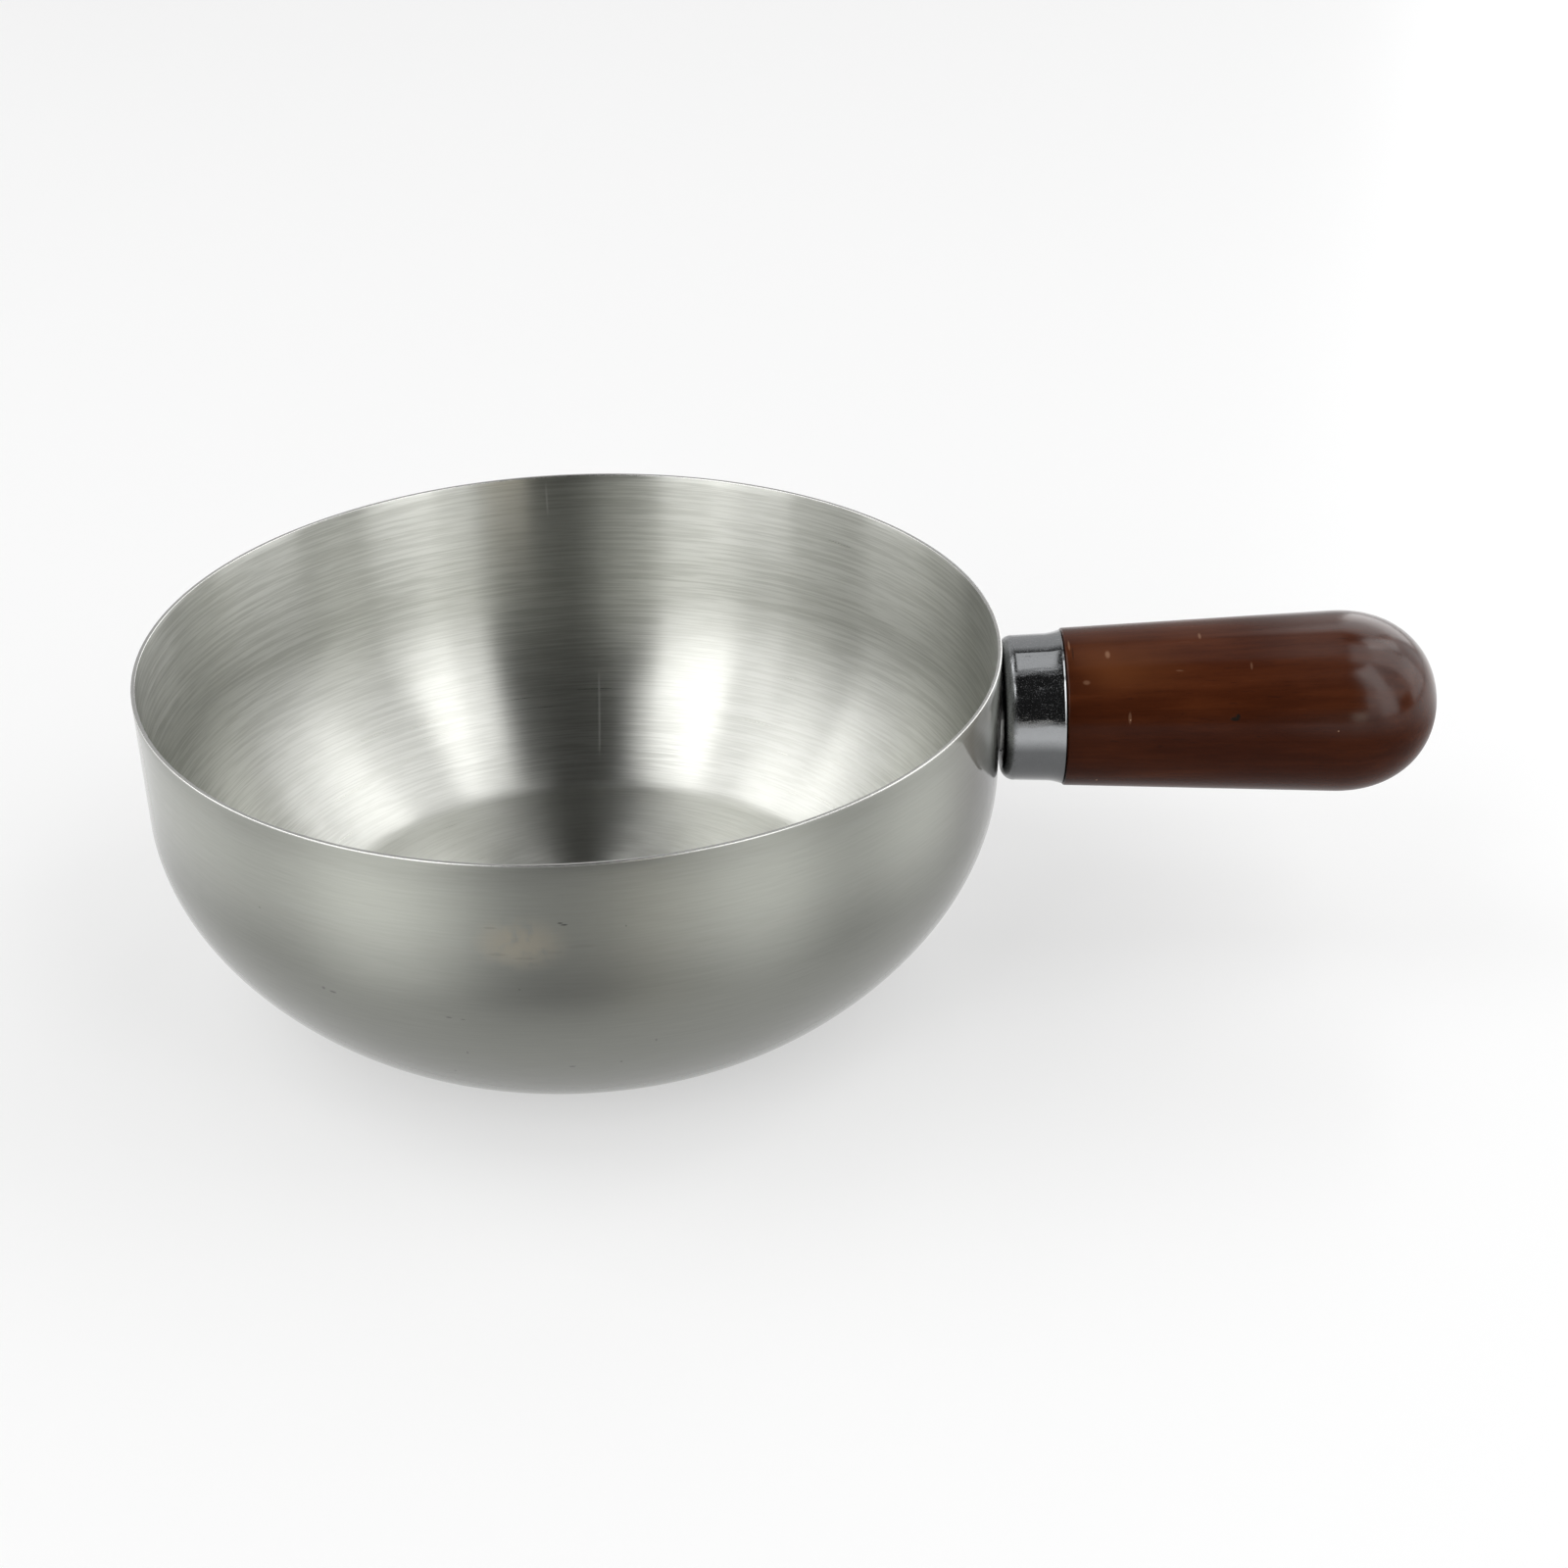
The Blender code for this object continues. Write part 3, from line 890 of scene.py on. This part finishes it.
# Floor, lamps, world and camera
stage = {
    "floorSize": 6.0,
    "floorDrop": 0.05 * mm,
    "floorTones": ((0.87, 0.87, 0.87, 1), (0.89, 0.89, 0.89, 1)),
    "floorCloud": 3.0,
    "floorRoughness": 0.32,
    "floorGloss": 0.5,
    "paleShare": 0.52,
    "worldColour": (0.018, 0.018, 0.018, 1),
    "backdropColour": (0.50, 0.50, 0.50, 1),
    "backdropStart": (0.35, 0.65),
    "backdropTop": (0.85, 0.65),
}


def makeFloor():
    deselectAll()
    bpy.ops.mesh.primitive_plane_add(size=stage["floorSize"], location=(0, 0, -stage["floorDrop"]))
    floor = bpy.context.object
    floor.name = "studioFloor"
    material, f = newFinish("palePaper")
    cloud = noise(f, objectPlace(f), stage["floorCloud"])
    paper = f.node("ShaderNodeBsdfPrincipled", {}, {
        "Base Color": mixColour(f, cloud, *stage["floorTones"]),
        "Roughness": stage["floorRoughness"],
        "Specular IOR Level": stage["floorGloss"],
    })
    # camera, mirror and glass rays see the paper paler, the light on the pot stays as it is
    path = f.tree.nodes.new("ShaderNodeLightPath")
    rays = ("Is Camera Ray", "Is Glossy Ray", "Is Transmission Ray")
    seen = sum([Wire(f.tree, path.outputs[ray]) for ray in rays])
    white = f.node("ShaderNodeEmission", {}, {"Color": (1, 1, 1, 1), "Strength": 1.0})
    share = seen * stage["paleShare"]
    finishWith(f, f.node("ShaderNodeMixShader", {}, {0: share, 1: paper, 2: white}))
    floor.data.materials.append(material)
    print("floor laid")


# softboxes round the pot: first and last azimuth, from the camera's side towards the
# handle, lowest and highest angle over the floor, and level
lamps = {
    "rearLeftFoot": (-130, -110, 1, 14, 0.4),
    "sideLeftFoot": (-110, -88, 1, 14, 1.0),
    "gapLeftFoot": (-88, -62, 1, 14, 0.45),
    "frontLeftFoot": (-62, -38, 1, 14, 1.75),
    "edgeLeftFoot": (-38, -24, 1, 14, 0.95),
    "warmFoot": (14, 26, 0.5, 11, 1.5),
    "edgeRightFoot": (27, 40, 1, 14, 0.7),
    "frontRightFoot": (40, 60, 1, 14, 1.45),
    "sideRightFoot": (82, 112, 1, 14, 1.2),
    "rearRightFoot": (112, 130, 1, 14, 0.5),
    "rearLeftLow": (-130, -110, 14, 30, 1.05),
    "sideLeftLow": (-110, -88, 14, 30, 1.45),
    "gapLeftLow": (-88, -62, 14, 30, 0.8),
    "frontLeftLow": (-62, -30, 14, 30, 1.7),
    "edgeLeftLow": (-30, -23, 14, 30, 1.05),
    "edgeRightLow": (28, 40, 14, 30, 0.95),
    "frontRightLow": (40, 60, 14, 30, 1.55),
    "gapRightLow": (60, 86, 14, 30, 0.65),
    "sideRightLow": (86, 112, 14, 30, 1.55),
    "rearRightLow": (112, 130, 14, 30, 0.6),
    "rearLeftHigh": (-130, -90, 30, 60, 2.0),
    "gapLeftHigh": (-90, -52, 30, 60, 1.05),
    "frontLeftHigh": (-52, -22, 30, 60, 2.1),
    "edgeRightHigh": (31, 40, 30, 60, 1.1),
    "frontRightHigh": (40, 60, 30, 60, 1.95),
    "gapRightHigh": (60, 80, 30, 60, 0.65),
    "sideRightHigh": (80, 112, 30, 60, 1.45),
    "rearRightHigh": (112, 130, 30, 60, 2.0),
    "topLeft": (-120, -60, 60, 76, 1.5),
    "topRight": (60, 120, 60, 76, 1.15),
    "backRightLow": (134, 164, 4, 28, 1.4),
    "backRightHigh": (135, 165, 28, 53, 0.9),
    "backTop": (-165, -135, 58, 74, 0.7),
}
handleStrip = {"place": (0.33, 0.58, 2.37), "size": (0.26, 1.60), "level": 0.62}
plainLight = (1.0, 1.0, 1.0)
warmLight = (1.0, 0.93, 0.80)
lampAim = Vector((0, 0, 0.05))
lampDistance = 2.4
lampPower = 4  # watts per square metre at level 1
narrowest = 0.4  # the high lamps shrink no further than to this share


def hangLamp(name, place, target, size, level, colour=plainLight):
    deselectAll()
    turned = (place - target).to_track_quat("Z", "Y").to_euler()
    bpy.ops.object.light_add(type="AREA", location=place, rotation=turned)
    lamp = bpy.context.object
    lamp.name = name
    lamp.data.shape = "RECTANGLE"
    lamp.data.size, lamp.data.size_y = size
    lamp.data.energy = level * size[0] * size[1] * lampPower
    lamp.data.color = colour


def makeLamps():
    for name, (first, last, low, high, level) in lamps.items():
        a = math.radians((first + last) / 2)
        e = math.radians((low + high) / 2)
        away = Vector((math.sin(a) * math.cos(e), -math.cos(a) * math.cos(e), math.sin(e)))
        nearer = max(math.cos(e), narrowest)
        width = 2 * lampDistance * nearer * math.tan(math.radians((last - first) / 2))
        height = 2 * lampDistance * math.tan(math.radians((high - low) / 2))
        colour = warmLight if name.startswith("warm") else plainLight
        hangLamp(name, lampAim + away * lampDistance, lampAim, (width, height), level, colour)
    # a narrow strip overhead, in line with the ferrule, draws the light band along it
    place = Vector(handleStrip["place"])
    target = Vector((place.x, 0, lampAim.z))
    hangLamp("handleStrip", place, target, handleStrip["size"], handleStrip["level"])
    print("lamps hung:", len(lamps) + 1)


def makeWorld():
    world = bpy.data.worlds.new("studio")
    bpy.context.scene.world = world
    world.use_nodes = True
    background = world.node_tree.nodes["Background"]
    f = Wire(world.node_tree, None)
    x, y, z = split(f, f.node("ShaderNodeTexCoord", {}, {}, "Generated"))
    # a pale backdrop stands behind the pot, the room on the camera's side is dark
    backdrop = between(f, y, *stage["backdropStart"]) * between(f, z, *stage["backdropTop"])
    colour = mixColour(f, backdrop, stage["worldColour"], stage["backdropColour"])
    world.node_tree.links.new(colour.socket, background.inputs["Color"])


view = {
    "lens": 66.375,
    "sensor": 36.0,
    "distance": 619.426 * mm,
    "rise": math.radians(29.295),
    "roll": math.radians(-1.212),
    "side": 44.107 * mm,
    "belowRim": 34.498 * mm,
}


def makeCamera():
    rise, roll = view["rise"], view["roll"]
    aim = Vector((view["side"], 0, bowlHigh.z - view["belowRim"]))
    back = Vector((0, -math.cos(rise), math.sin(rise))) * view["distance"]
    turned = Matrix.Rotation(math.pi / 2 - rise, 4, "X") @ Matrix.Rotation(roll, 4, "Z")
    deselectAll()
    bpy.ops.object.camera_add(location=aim + back, rotation=turned.to_euler())
    camera = bpy.context.object
    camera.data.lens = view["lens"]
    camera.data.sensor_width = view["sensor"]
    bpy.context.scene.camera = camera


makeBowl()
makeFerrule()
makeGrip()
dressHardware()
makeFloor()
makeLamps()
makeWorld()
makeCamera()
bpy.context.scene.view_settings.view_transform = "Standard"
deselectAll()
